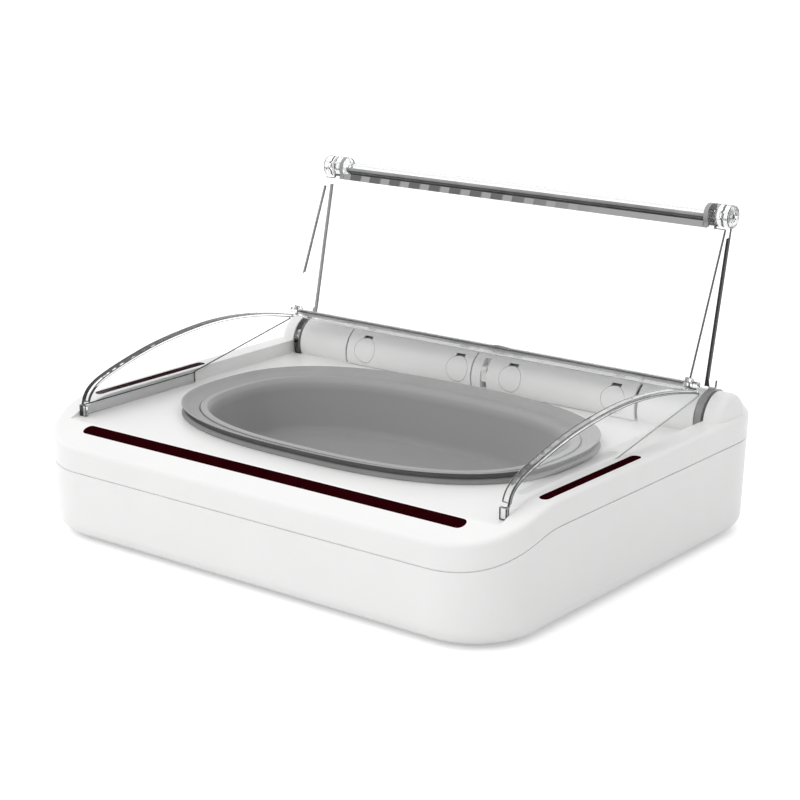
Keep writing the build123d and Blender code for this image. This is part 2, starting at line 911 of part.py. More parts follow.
flange_inner_x = tray_half_width - guard_flange
guard_front, guard_rear = guard_edge[0], guard_edge[-1]
guard_under = underside(guard_edge, guard_flange_thickness)
for side, name in ((-1, "left"), (1, "right")):
    wall_low, wall_high = sorted((side * (tray_half_width - guard_wall), side * tray_half_width))
    with BuildPart() as guard:
        with BuildSketch(Plane.YZ.offset(wall_low)):
            with BuildLine():
                Spline(*guard_edge)
                Polyline(
                    guard_rear,
                    (guard_rear[0], guard_lower_rear_z),
                    (guard_heel_y, guard_heel_z),
                    (guard_heel_y, tray_z),
                    (guard_foot_y, tray_z),
                    guard_front,
                )
            make_face()
        extrude(amount=wall_high - wall_low)
        rail_low, rail_high = sorted((side * flange_inner_x, side * tray_half_width))
        with BuildSketch(Plane.YZ.offset(rail_low)):
            with BuildLine():
                Spline(*guard_edge)
                Line(guard_rear, guard_under[-1])
                Spline(*reversed(guard_under))
                Line(guard_under[0], guard_front)
            make_face()
        extrude(amount=rail_high - rail_low)
        block(
            (rail_low, rail_high),
            (guard_foot_y, guard_foot_y + guard_wall),
            (tray_z, guard_web_top_z),
        )
    guard.part.label = f"guard_{name}"
    export_step(guard.part, f"parts/guard_{name}.step")


# ---------------------------------------------------------------- clear lid
def unit(start, end):
    """Direction from start to end on the YZ plane."""
    length = math.dist(start, end)
    return ((end[0] - start[0]) / length, (end[1] - start[1]) / length)


def plate(start, end, x_start, x_end, mode=Mode.ADD):
    """Flat clear plate from start to end on the YZ plane, centred on that line."""
    along = unit(start, end)
    across = (-along[1] * panel_thickness / 2, along[0] * panel_thickness / 2)
    corners = [
        (start[0] + across[0], start[1] + across[1]),
        (end[0] + across[0], end[1] + across[1]),
        (end[0] - across[0], end[1] - across[1]),
        (start[0] - across[0], start[1] - across[1]),
    ]
    profile(corners, x_start, x_end, mode=mode)


def part_way(start, end, distance):
    """Point on the line from start to end, at a distance from start."""
    along = unit(start, end)
    return (start[0] + along[0] * distance, start[1] + along[1] * distance)


rear_foot = (rear_panel_foot_y, rear_panel_foot_z)
rear_top = (crown_y + panel_offset, crown_z)
front_pin = (front_pin_y, front_pin_z)
front_top = (crown_y - panel_offset, crown_z)
front_foot = (front_pin_y - panel_offset, front_pin_z + panel_offset / 2)
knuckle_clear = knuckle_radius + panel_fold_gap
barrel_end_x = knuckle_inner_x - knuckle_gap
rear_knuckle_x = knuckle_split_x + knuckle_gap

with BuildPart() as rear_lid:
    full_top = part_way(rear_top, rear_foot, knuckle_clear)
    plate(rear_foot, full_top, -panel_half_width, panel_half_width)
    plate(full_top, rear_top, -barrel_end_x, barrel_end_x)
    rod(barrel_radius, -barrel_end_x, barrel_end_x, crown_y, crown_z)
    wide_top = part_way(rear_foot, rear_top, panel_wide_length)
    plate(rear_foot, wide_top, -cheek_outer_x, cheek_outer_x)
    for side in (-1, 1):
        plate(full_top, rear_top, side * rear_knuckle_x, side * panel_half_width)
        rod(knuckle_radius, side * rear_knuckle_x, side * knuckle_outer_x, crown_y, crown_z)
        rod(cheek_radius, side * cheek_inner_x, side * cheek_outer_x, drum_y, drum_z)
        plate((drum_y, drum_z), rear_foot, side * cheek_inner_x, side * cheek_outer_x)
        rod(
            hinge_pin_radius,
            side * cheek_inner_x,
            side * cheek_outer_x,
            drum_y,
            drum_z,
            mode=Mode.SUBTRACT,
        )
    rod(
        hinge_rod_radius,
        -knuckle_outer_x,
        knuckle_outer_x,
        crown_y,
        crown_z,
        mode=Mode.SUBTRACT,
    )
rear_lid.part.label = "rear_lid"
export_step(rear_lid.part, "parts/rear_lid.step")

lip_turn = math.radians(front_lip_angle)
lip_end = (
    front_foot[0] + panel_offset + front_lip_length * math.cos(lip_turn),
    front_pin_z - front_lip_length * math.sin(lip_turn),
)
with BuildPart() as front_lid:
    full_top = part_way(front_top, front_foot, knuckle_clear)
    near_top = part_way(front_top, front_foot, barrel_radius + panel_fold_gap)
    plate(front_foot, full_top, -panel_half_width, panel_half_width)
    plate(full_top, near_top, -barrel_end_x, barrel_end_x)
    plate(front_foot, lip_end, -panel_half_width, panel_half_width)
    for side in (-1, 1):
        knuckle_ends = (side * knuckle_inner_x, side * knuckle_split_x)
        plate(full_top, front_top, *knuckle_ends)
        rod(knuckle_radius, *knuckle_ends, crown_y, crown_z)
        rod(
            hinge_rod_radius + pivot_clearance,
            *knuckle_ends,
            crown_y,
            crown_z,
            mode=Mode.SUBTRACT,
        )
        ear_x = panel_half_width - follower_ear_width
        rod(follower_ear_radius, side * ear_x, side * panel_half_width, *front_pin)
        rod(follower_radius, side * panel_half_width, side * follower_outer_x, *front_pin)
front_lid.part.label = "front_lid"
export_step(front_lid.part, "parts/front_lid.step")

with BuildPart() as hinge_rod:
    rod(hinge_rod_radius, -knuckle_outer_x, knuckle_outer_x, crown_y, crown_z)
hinge_rod.part.label = "lid_hinge_rod"
export_step(hinge_rod.part, "parts/lid_hinge_rod.step")

for side, name in ((-1, "left"), (1, "right")):
    with BuildPart() as hinge_pin:
        rod(hinge_pin_radius, side * hinge_pin_inner_x, side * hinge_pin_outer_x, drum_y, drum_z)
    hinge_pin.part.label = f"hinge_pin_{name}"
    export_step(hinge_pin.part, f"parts/hinge_pin_{name}.step")


# ---------------------------------------------------------------- lid drive
down, up = -90.0, 90.0
gears = (
    ("drive_gear", gear_drive_radius, drive_teeth, drum_z, down, hinge_pin_radius),
    (
        "idler_gear",
        gear_idler_radius,
        idler_teeth,
        idler_z,
        up + 180 / idler_teeth,
        axle_radius + pivot_clearance,
    ),
    ("motor_pinion", gear_pinion_radius, pinion_teeth, pinion_z, up, motor_shaft_radius),
)
for name, radius, teeth, z, phase, bore in gears:
    with BuildPart() as gear:
        extrude(gear_sketch(radius, teeth, drum_y, z, phase), amount=gear_thickness)
        rod(bore, gear_inner_x, gear_outer_x, drum_y, z, mode=Mode.SUBTRACT)
    gear.part.label = name
    export_step(gear.part, f"parts/{name}.step")

frame_outer_x = frame_inner_x + frame_thickness
motor_back_x = frame_inner_x - motor_length
shaft_inner_x = frame_inner_x - motor_shaft_engage

with BuildPart() as motor:
    rod(motor_radius, motor_back_x, frame_inner_x, drum_y, pinion_z)
    rod(
        motor_shaft_radius + pivot_clearance,
        shaft_inner_x,
        frame_inner_x,
        drum_y,
        pinion_z,
        mode=Mode.SUBTRACT,
    )
motor.part.label = "motor"
export_step(motor.part, "parts/motor.step")

with BuildPart() as motor_shaft:
    rod(motor_shaft_radius, shaft_inner_x, gear_outer_x, drum_y, pinion_z)
motor_shaft.part.label = "motor_shaft"
export_step(motor_shaft.part, "parts/motor_shaft.step")

with BuildPart() as gear_frame:
    block(
        (frame_inner_x, frame_outer_x),
        (frame_front_y, frame_rear_y),
        (frame_foot_z - frame_thickness, drum_z),
    )
    rod(
        cradle_radius + seat_gap,
        frame_inner_x,
        frame_outer_x,
        drum_y,
        drum_z,
        mode=Mode.SUBTRACT,
    )
    block(
        (frame_shelf_x, frame_inner_x),
        (frame_front_y, frame_rear_y),
        (frame_foot_z - frame_thickness, frame_foot_z),
    )
    for leg_x in (frame_shelf_x, frame_leg_outer_x - frame_leg_width):
        block(
            (leg_x, leg_x + frame_leg_width),
            (frame_front_y, frame_rear_y),
            (tub_floor_z, frame_foot_z),
        )
    rod(
        motor_shaft_radius + motor_shaft_clear,
        frame_inner_x,
        frame_outer_x,
        drum_y,
        pinion_z,
        mode=Mode.SUBTRACT,
    )
    rod(axle_radius, frame_inner_x, frame_outer_x, drum_y, idler_z, mode=Mode.SUBTRACT)
gear_frame.part.label = "gear_frame"
export_step(gear_frame.part, "parts/gear_frame.step")

with BuildPart() as idler_axle:
    rod(axle_radius, frame_inner_x, gear_outer_x + axle_over, drum_y, idler_z)
idler_axle.part.label = "idler_axle"
export_step(idler_axle.part, "parts/idler_axle.step")


# ---------------------------------------------------------------- main board
with BuildPart() as main_board:
    block(
        (board_x - board_length / 2, board_x + board_length / 2),
        (board_y - board_width / 2, board_y + board_width / 2),
        (board_z, board_z + board_thickness),
    )
    with BuildSketch(Plane.XY.offset(board_z + board_thickness)):
        with Locations((board_x, board_y)):
            column_step = board_length / chip_columns
            row_step = board_width / (chip_rows + 1)
            with GridLocations(column_step, row_step, chip_columns, chip_rows):
                Rectangle(chip_fill * column_step, chip_fill * row_step)
    extrude(amount=chip_height)
main_board.part.label = "main_board"
export_step(main_board.part, "parts/main_board.step")


# ---------------------------------------------------------------- fasteners and feet
with BuildPart() as case_screws:
    for x, y in post_places:
        post(screw_radius, x, y, screw_seat_z, screw_seat_z + screw_length)
        post(screw_head_radius - screw_head_gap, x, y, screw_seat_z - screw_head_height, screw_seat_z)
case_screws.part.label = "case_screws"
export_step(case_screws.part, "parts/case_screws.step")

with BuildPart() as rubber_feet:
    for x, y in foot_places:
        post(foot_radius, x, y, 0, foot_stand_off + foot_recess)
rubber_feet.part.label = "rubber_feet"
export_step(rubber_feet.part, "parts/rubber_feet.step")
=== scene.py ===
import bmesh
import bpy
import json
import math
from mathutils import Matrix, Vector


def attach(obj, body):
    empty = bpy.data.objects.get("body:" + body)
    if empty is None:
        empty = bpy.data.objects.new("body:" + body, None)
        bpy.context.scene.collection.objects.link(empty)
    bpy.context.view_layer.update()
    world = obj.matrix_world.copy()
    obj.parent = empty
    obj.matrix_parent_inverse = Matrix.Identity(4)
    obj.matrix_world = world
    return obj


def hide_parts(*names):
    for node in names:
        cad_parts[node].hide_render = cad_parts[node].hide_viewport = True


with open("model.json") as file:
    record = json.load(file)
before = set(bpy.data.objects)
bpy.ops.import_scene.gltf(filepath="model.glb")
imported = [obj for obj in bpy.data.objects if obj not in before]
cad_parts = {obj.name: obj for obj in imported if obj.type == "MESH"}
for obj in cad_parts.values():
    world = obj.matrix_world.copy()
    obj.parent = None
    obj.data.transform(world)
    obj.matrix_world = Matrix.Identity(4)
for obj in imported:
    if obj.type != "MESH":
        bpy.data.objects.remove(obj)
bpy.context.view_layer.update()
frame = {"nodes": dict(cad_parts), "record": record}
nodes = frame["nodes"]

MM = 0.001


# ------------------------------------------------------------------ shader nodes
def grey(shade):
    return (shade, shade, shade)


def wire(tree, value, socket):
    """Link an output to a socket, or set the socket to a plain value."""
    if isinstance(value, bpy.types.NodeSocket):
        tree.links.new(value, socket)
    else:
        socket.default_value = value


def math_node(tree, operation, *values):
    node = tree.nodes.new("ShaderNodeMath")
    node.operation = operation
    for value, socket in zip(values, node.inputs):
        wire(tree, value, socket)
    return node.outputs[0]


def mix_node(tree, kind, factor, low, high):
    node = tree.nodes.new("ShaderNodeMix")
    node.data_type = kind
    wire(tree, factor, node.inputs["Factor"])
    wire(tree, low, node.inputs["A"])
    wire(tree, high, node.inputs["B"])
    return node.outputs["Result"]


def range_node(tree, value, low, high):
    """0 at the low value and 1 at the high one."""
    node = tree.nodes.new("ShaderNodeMapRange")
    node.inputs["From Min"].default_value = low
    node.inputs["From Max"].default_value = high
    tree.links.new(value, node.inputs["Value"])
    return node.outputs["Result"]


def ramp_node(tree, factor, stops):
    """Colour ramp; stops lists (position, colour)."""
    ramp = tree.nodes.new("ShaderNodeValToRGB")
    marks = ramp.color_ramp.elements
    while len(marks) < len(stops):
        marks.new(0.5)
    for mark, (position, color) in zip(marks, stops):
        mark.position = position
        mark.color = (*color, 1)
    tree.links.new(factor, ramp.inputs["Fac"])
    return ramp.outputs["Color"]


def coordinates(tree, kind):
    """The X, Y and Z outputs of one kind of texture coordinate."""
    place = tree.nodes.new("ShaderNodeTexCoord")
    split = tree.nodes.new("ShaderNodeSeparateXYZ")
    tree.links.new(place.outputs[kind], split.inputs[0])
    return split.outputs


def noise_node(tree, scale, detail, stretch=(1.0, 1.0, 1.0)):
    """Random pattern that is fixed to the object."""
    place = tree.nodes.new("ShaderNodeTexCoord")
    mapping = tree.nodes.new("ShaderNodeMapping")
    mapping.inputs["Scale"].default_value = stretch
    tree.links.new(place.outputs["Object"], mapping.inputs["Vector"])
    noise = tree.nodes.new("ShaderNodeTexNoise")
    noise.inputs["Scale"].default_value = scale
    noise.inputs["Detail"].default_value = detail
    tree.links.new(mapping.outputs["Vector"], noise.inputs["Vector"])
    return noise.outputs["Fac"]


# ------------------------------------------------------------------ materials
CLEAR_IOR = 1.49


def shader_of(material):
    return material.node_tree.nodes["Principled BSDF"]


def new_material(
    name, color, roughness, specular=0.5, transmission=0.0, ior=1.5, metallic=0.0
):
    material = bpy.data.materials.new(name)
    material.use_nodes = True
    sockets = shader_of(material).inputs
    sockets["Base Color"].default_value = (*color, 1.0)
    sockets["Roughness"].default_value = roughness
    sockets["Specular IOR Level"].default_value = specular
    sockets["Transmission Weight"].default_value = transmission
    sockets["IOR"].default_value = ior
    sockets["Metallic"].default_value = metallic
    return material


def add_bump(material, scale, distance, strength=0.5):
    tree = material.node_tree
    bump = tree.nodes.new("ShaderNodeBump")
    bump.inputs["Strength"].default_value = strength
    bump.inputs["Distance"].default_value = distance
    tree.links.new(noise_node(tree, scale, detail=4.0), bump.inputs["Height"])
    tree.links.new(bump.outputs["Normal"], shader_of(material).inputs["Normal"])


def add_variation(material, socket, scale, low, high, stretch=(1.0, 1.0, 1.0)):
    """A soft random change of a shader socket between two colours."""
    tree = material.node_tree
    noise = noise_node(tree, scale, 3.0, stretch)
    low_end, high_end = 0.3, 0.7
    color = ramp_node(tree, noise, ((low_end, low), (high_end, high)))
    tree.links.new(color, shader_of(material).inputs[socket])


def add_painted_shade_bands(material, stops):
    """Painted shade that changes with height; stops lists (height in metres, shade)."""
    top = 0.1
    waver = 0.001
    tree = material.node_tree
    up = coordinates(tree, "Object")["Z"]
    noise = noise_node(tree, scale=30.0, detail=2.0)
    height = math_node(tree, "MULTIPLY_ADD", noise, waver, up)
    marks = [(level / top, grey(shade)) for level, shade in stops]
    color = ramp_node(tree, range_node(tree, height, 0.0, top), marks)
    tree.links.new(color, shader_of(material).inputs["Base Color"])


def add_dashes(material, pitch, share, dark, light, fade_from, fade_to):
    """Even light dashes along X, which fade to all light towards one end."""
    soft = 0.05
    tree = material.node_tree
    along = coordinates(tree, "Object")["X"]
    turn = math_node(tree, "FRACT", math_node(tree, "DIVIDE", along, pitch))
    stops = ((1 - share - soft, grey(0)), (1 - share + soft, grey(1)))
    dash = ramp_node(tree, turn, stops)
    lit = math_node(tree, "MAXIMUM", dash, range_node(tree, along, fade_from, fade_to))
    color = mix_node(tree, "RGBA", lit, (*grey(dark), 1), (*grey(light), 1))
    tree.links.new(color, shader_of(material).inputs["Base Color"])


def rubber(name, shade, roughness, specular, low, high):
    material = new_material(name, grey(shade), roughness, specular=specular)
    add_variation(material, "Base Color", 60.0, grey(low), grey(high))
    add_bump(material, scale=1900.0, distance=0.00004, strength=0.4)
    return material


def edge_material(name, shade, transmission=0.0):
    """Opaque grey painted on edges and strips of the clear plastic, as painted refraction and
    reflection, which makes them look darker than its faces.
    """
    return new_material(
        name, grey(shade), 0.25, specular=0.3, transmission=transmission, ior=CLEAR_IOR
    )


def mottled_edge(name, shade, transmission=0.0):
    material = edge_material(name, shade, transmission)
    low, high = grey(shade * 0.82), grey(min(1.0, shade * 1.2))
    add_variation(material, "Base Color", 60.0, low, high)
    return material


def paint(obj, material):
    if not obj.material_slots:
        obj.data.materials.append(material)
    for slot in obj.material_slots:
        slot.material = material


white = new_material("white_abs", (0.86, 0.86, 0.855), 0.34, specular=0.4)
add_variation(white, "Base Color", 35.0, (0.862, 0.862, 0.858), (0.878, 0.878, 0.874))
add_bump(white, scale=2600.0, distance=0.00003, strength=0.35)

bowl_grey = new_material("bowl_plastic", grey(0.3), 0.36, specular=0.45)
# Painted shade: the bowl's walls are painted darker than its floor and its rim.
add_painted_shade_bands(bowl_grey, ((0.0355, 0.36), (0.0375, 0.25), (0.058, 0.255), (0.0625, 0.35)))
add_bump(bowl_grey, scale=1500.0, distance=0.00003, strength=0.3)

# Painted shade: the groove under the mat's lip and the mat's foot get darker greys than the
# rest of the mat.
mat_groove_painted_shade = rubber("mat_rubber_groove_painted_shade", 0.09, 0.6, 0.2, 0.14, 0.16)
mat_foot_painted_shade = rubber("mat_rubber_foot_painted_shade", 0.25, 0.5, 0.3, 0.235, 0.26)
mat_grey = rubber("mat_rubber", 0.3, 0.5, 0.4, 0.34, 0.365)

clear = new_material(
    "clear_plastic", (0.97, 0.975, 0.975), 0.02, transmission=1.0, ior=CLEAR_IOR
)
add_variation(clear, "Roughness", 9.0, grey(0.01), grey(0.03))
# Painted refraction and reflection: the dark, deep, mid and pale greys stand in for what the
# clear plastic refracts and reflects.
edge_dark = mottled_edge("clear_edge_dark", 0.028)
edge_deep = mottled_edge("clear_edge_deep", 0.12)
edge_mid = mottled_edge("clear_edge_grey", 0.34)
edge_pale = mottled_edge("clear_edge_pale", 0.62, transmission=0.5)
edge_dashes = edge_material("clear_edge_dashes", 0.2)
add_dashes(
    edge_dashes, pitch=0.0151, share=0.44, dark=0.13, light=0.36, fade_from=-0.01, fade_to=0.06
)

window = new_material("infrared_window", (0.014, 0.001, 0.002), 0.5, specular=0.0)
add_variation(window, "Base Color", 120.0, (0.014, 0.0006, 0.0014), (0.022, 0.0009, 0.0026))

steel = new_material("steel", grey(0.55), 0.28, metallic=1.0)
add_variation(steel, "Roughness", 40.0, grey(0.26), grey(0.34), stretch=(0.1, 1, 1))

black = new_material("black_rubber", grey(0.02), 0.6)
add_bump(black, scale=2000.0, distance=0.00005)
board_green = new_material("circuit_board", (0.02, 0.12, 0.05), 0.4)
add_variation(board_green, "Base Color", 300.0, (0.015, 0.10, 0.04), (0.03, 0.15, 0.06))
nickel = new_material("nickel", (0.7, 0.69, 0.66), 0.2, metallic=1.0)
cell_case = new_material("cell_case", (0.3, 0.31, 0.33), 0.35)
add_variation(cell_case, "Base Color", 90.0, (0.28, 0.29, 0.31), (0.34, 0.35, 0.37))
lamp = new_material("lamp_lens", (0.3, 0.02, 0.02), 0.15)
gear_white = new_material("acetal", (0.7, 0.69, 0.65), 0.45)
add_variation(gear_white, "Base Color", 200.0, (0.68, 0.67, 0.63), (0.74, 0.73, 0.69))

looks = {
    "white_shell": white,
    "clear_plastic": clear,
    "steel": steel,
    "grey_bowl": bowl_grey,
    "grey_mat": mat_grey,
    "rubber_foot": black,
    "dark_window": window,
    "circuit_board": board_green,
    "contact_metal": nickel,
    "battery_case": cell_case,
    "lamp_lens": lamp,
    "switch_plastic": black,
    "gear_plastic": gear_white,
    "motor_can": steel,
    "frame_plastic": black,
}
for entry in frame["record"]["subparts"]:
    paint(nodes[entry["node"]], looks[entry["material_slot"]])


# ------------------------------------------------------------------ pieces over the solids
bodies_of = {
    node: body
    for body, members in frame["record"]["behaviour"]["bodies"].items()
    for node in members
}


def add_piece(name, mesh, body, replaced):
    piece = bpy.data.objects.new(name, mesh)
    bpy.context.scene.collection.objects.link(piece)
    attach(piece, body)
    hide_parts(*replaced)
    return piece


# ------------------------------------------------------------------ bowl and mat
# Half lengths and centre of the bowl's oval outline, in millimetres.
OVAL_X, OVAL_Y, OVAL_CENTRE_Y = 112.2, 68.2, -13.7
OVAL_POWER = 2.6
OVAL_STEPS = 240
CORNER_SHARE = 0.45

# Sections list (inset from the oval, height) in millimetres.
BOWL_INSIDE = (
    (60.0, 34.2), (18.2, 34.2), (5.0, 57.0), (3.0, 62.4), (0.0, 62.4), (0.0, 64.2), (3.4, 64.2),
)
BOWL_OUTSIDE = ((3.5, 64.2), (7.0, 57.7), (20.0, 36.3), (34.0, 36.2), (60.0, 36.2))
MAT_SECTION = (
    (0.6, 55.0), (0.6, 61.0), (-9.6, 61.0), (-9.9, 61.5), (-9.0, 63.4), (-7.0, 63.9),
    (-6.6, 65.5), (-8.8, 66.5), (-10.0, 66.8), (-9.9, 67.2), (-9.0, 67.1), (-6.0, 65.2),
    (-3.0, 64.1), (-0.4, 63.6), (-0.3, 62.4), (2.1, 62.4), (2.1, 55.0), (0.6, 55.0),
)
MAT_FOOT_TOP = 63.6
MAT_GROOVE_TOP = 66.72


def oval(inset):
    """Points of a superellipse that lies the inset within the bowl's outline."""
    points = []
    for step in range(OVAL_STEPS):
        turn = 2 * math.pi * step / OVAL_STEPS
        cosine, sine = math.cos(turn), math.sin(turn)
        x = math.copysign(abs(cosine) ** (2 / OVAL_POWER), cosine)
        y = math.copysign(abs(sine) ** (2 / OVAL_POWER), sine)
        points.append(((OVAL_X - inset) * x, OVAL_CENTRE_Y + (OVAL_Y - inset) * y))
    return points


def ring_loft(section, closed):
    """Skin through one oval ring for each point of the section."""
    work = bmesh.new()
    rings = []
    for inset, height in section:
        rings.append([work.verts.new((x * MM, y * MM, height * MM)) for x, y in oval(inset)])
    pairs = list(zip(rings, rings[1:]))
    if closed:
        pairs.append((rings[-1], rings[0]))
    for low, high in pairs:
        for index in range(OVAL_STEPS):
            after = (index + 1) % OVAL_STEPS
            face = work.faces.new((low[index], low[after], high[after], high[index]))
            face.smooth = True
    return work, rings


def smooth_path(points, radius, steps=4):
    """Section with each inner corner rounded, as a list of points."""
    result = [points[0]]
    for before, corner, after in zip(points, points[1:], points[2:]):
        corner = Vector(corner)
        back_way = Vector(before) - corner
        on_way = Vector(after) - corner
        cut = min(radius, back_way.length * CORNER_SHARE, on_way.length * CORNER_SHARE)
        start = corner + back_way.normalized() * cut
        end = corner + on_way.normalized() * cut
        for step in range(steps + 1):
            t = step / steps
            point = (1 - t) ** 2 * start + 2 * t * (1 - t) * corner + t**2 * end
            result.append((point.x, point.y))
    result.append(points[-1])
    return result


def finished_mesh(name, work, materials):
    mesh = bpy.data.meshes.new(name)
    work.to_mesh(mesh)
    work.free()
    for material in materials:
        mesh.materials.append(material)
    return mesh


def make_bowl():
    section = smooth_path(BOWL_INSIDE, radius=0.5)
    section += smooth_path(BOWL_OUTSIDE, radius=4.5, steps=8)
    work, rings = ring_loft(section, closed=False)
    for ring in (list(reversed(rings[0])), rings[-1]):
        work.faces.new(ring).smooth = True
    bmesh.ops.recalc_face_normals(work, faces=work.faces)
    mesh = finished_mesh("bowl_form", work, (bowl_grey,))
    add_piece("bowl_form", mesh, "bowl", ("bowl",))


def make_mat():
    section = smooth_path(MAT_SECTION, radius=0.6)
    work, rings = ring_loft(section[:-1], closed=True)
    bmesh.ops.recalc_face_normals(work, faces=work.faces)
    for face in work.faces:
        place = face.calc_center_median() / MM
        outward = Vector((place.x / OVAL_X**2, (place.y - OVAL_CENTRE_Y) / OVAL_Y**2, 0))
        # Outward faces of the groove and the foot take the painted-shade greys.
        if face.normal.dot(outward.normalized()) > 0.1 and place.z < MAT_GROOVE_TOP:
            face.material_index = 1 if place.z > MAT_FOOT_TOP else 2
    mesh = finished_mesh("mat_form", work, (mat_grey, mat_groove_painted_shade, mat_foot_painted_shade))
    add_piece("mat_form", mesh, "bowl_mat", ("bowl_mat",))


make_bowl()
make_mat()


# ------------------------------------------------------------------ clear panels and guards
# The last material marks the faces of a bevel until its own material is chosen.
clears = (clear, edge_dark, edge_deep, edge_mid, edge_pale, edge_dashes, clear)
CLEAR, DARK, DEEP, MID, PALE, DASHES, BEVEL = range(7)
WELD = 0.004 * MM
CUT = MM / 500
FLAT = math.radians(0.6)
BEVEL_ANGLE = math.radians(32.0)
SHARP_ANGLE = math.radians(38.0)


def softened(node, name, width, choose, rim, shape=None, cuts=(), clamp=True):
    """A copy of a clear solid with its sharp edges rounded, which stands for that solid.

    choose and rim give the material of a face and of a bevel, from its middle in
    millimetres and its normal. cuts lists the planes at which materials may change.
    """
    mesh = nodes[node].data.copy()
    mesh.name = name
    mesh.materials.clear()
    for material in clears:
        mesh.materials.append(material)
    work = bmesh.new()
    work.from_mesh(mesh)
    bmesh.ops.remove_doubles(work, verts=work.verts, dist=WELD)
    bmesh.ops.dissolve_limit(work, angle_limit=FLAT, verts=work.verts, edges=work.edges)
    if shape:
        for vertex in work.verts:
            vertex.co = shape(vertex.co)
    bmesh.ops.triangulate(work, faces=work.faces)
    for point, across in cuts:
        everything = work.verts[:] + work.edges[:] + work.faces[:]
        bmesh.ops.bisect_plane(work, geom=everything, plane_co=point, plane_no=across, dist=CUT)
    work.normal_update()
    for face in work.faces:
        face.material_index = choose(face.calc_center_median() / MM, face.normal)
    bmesh.ops.dissolve_limit(
        work, angle_limit=FLAT, verts=work.verts, edges=work.edges, delimit={"MATERIAL"}
    )
    sharp = [
        edge
        for edge in work.edges
        if len(edge.link_faces) == 2 and edge.calc_face_angle(0.0) > BEVEL_ANGLE
    ]
    bmesh.ops.bevel(
        work,
        geom=sharp,
        offset=width,
        offset_type="OFFSET",
        segments=2,
        profile=0.5,
        affect="EDGES",
        clamp_overlap=clamp,
        miter_outer="ARC",
        material=BEVEL,
    )
    for face in work.faces:
        if face.material_index == BEVEL:
            face.material_index = rim(face.calc_center_median() / MM, face.normal)
    bmesh.ops.triangulate(work, faces=[face for face in work.faces if len(face.verts) > 4])
    for face in work.faces:
        face.smooth = True
    for edge in work.edges:
        edge.smooth = edge.calc_face_angle(0.0) < SHARP_ANGLE
    work.to_mesh(mesh)
    work.free()
    piece = add_piece(name, mesh, bodies_of[node], (node,))
    weighting = piece.modifiers.new("even_shading", "WEIGHTED_NORMAL")
    weighting.keep_sharp = True
    weighting.weight = 100


def between(value, band):
    return band[0] < value < band[1]


def plane_x(x):
    return (Vector((x * MM, 0, 0)), Vector((1, 0, 0)))


def plane_z(z):
    return (Vector((0, 0, z * MM)), Vector((0, 0, 1)))


# Guards, in millimetres. The lower edge is level in front of the heel and slants up behind it.
GUARD_OUTER = 146.0
GUARD_FOOT_Z, GUARD_LOW_Z = 62.0, 66.0
# Widths of the strips painted along the outer faces, from the top, and of their rims, as
# painted refraction.
TOP_STRIP, TOP_CUT, LEFT_RIM, RIGHT_RIM = 1.0, 1.1, 1.4, 1.2
HEEL_Y, HEEL_Z = -12.0, 67.4
SLANT = math.atan2(16.0, 86.0)
SLANT_RUN, SLANT_RISE = math.cos(SLANT), math.sin(SLANT)
EDGE_BAND = 0.9
LEVEL_BAND = (67.0, 67.5)
TRAY_Z = 61.2
WALL_GAP, TRAY_GAP = 0.2, 0.1
FACES_RIGHT = 0.5
slant_cut = (
    Vector((0, (HEEL_Y - EDGE_BAND * SLANT_RISE) * MM, (HEEL_Z + EDGE_BAND * SLANT_RUN) * MM)),
    Vector((0, -SLANT_RISE, SLANT_RUN)),
)


def off_the_wall(co):
    """A hair of air between the guard and the wall and floor of its recess."""
    limit = (GUARD_OUTER - WALL_GAP) * MM
    lift = TRAY_GAP * MM if co.z < TRAY_Z * MM else 0
    return Vector((max(-limit, min(limit, co.x)), co.y, co.z + lift))


def in_slant_band(place):
    """Whether a point lies in the band along the slanting lower edge of a guard."""
    above = (place.z - HEEL_Z) * SLANT_RUN - (place.y - HEEL_Y) * SLANT_RISE
    return place.y > HEEL_Y and above < EDGE_BAND


# Left guard: dark strips painted along its top, a level band in front of the heel and its
# slanting lower edge, as painted refraction.
def left_guard_face(place, normal):
    if place.x < -GUARD_OUTER + TOP_STRIP and normal.z > 0.2:
        return DARK
    if normal.x > FACES_RIGHT:
        level = place.y < HEEL_Y and between(place.z, LEVEL_BAND)
        if level or in_slant_band(place):
            return DARK
    return CLEAR


# Bevels painted dark and deep grey, as painted refraction; the foot stays clear.
def left_guard_rim(place, normal):
    if place.z < GUARD_FOOT_Z:
        return CLEAR
    return DARK if place.x < -GUARD_OUTER + LEFT_RIM else DEEP


# Right guard: a pale strip painted along its slanting lower edge, as painted reflection.
def right_guard_face(place, normal):
    return PALE if normal.x > FACES_RIGHT and in_slant_band(place) else CLEAR


# Bevels painted pale grey along the top outer edge and grey or deep grey elsewhere, as painted
# reflection and refraction.
def right_guard_rim(place, normal):
    if place.x > GUARD_OUTER - RIGHT_RIM:
        return PALE if place.z > GUARD_LOW_Z else MID
    return MID if normal.z > 0 else DEEP


softened(
    "guard_left", "guard_clear_left", width=0.45 * MM, choose=left_guard_face,
    rim=left_guard_rim, shape=off_the_wall, clamp=False,
    cuts=[plane_x(-GUARD_OUTER + TOP_CUT), slant_cut] + [plane_z(z) for z in LEVEL_BAND],
)
softened(
    "guard_right", "guard_clear_right", width=0.4 * MM, choose=right_guard_face,
    rim=right_guard_rim, shape=off_the_wall, clamp=False, cuts=[slant_cut],
)

# Lid panels, in millimetres. The crown is the hinge between the two panels.
PANEL_HALF = 139.8
PANEL_FOOT_Z = 84.0
CROWN_Y, CROWN_Z = 110.3, 174.9
HINGE_FOOT_Z = 163.0
HINGE_RADIUS = 8.0
BARREL_HALF = 126.0
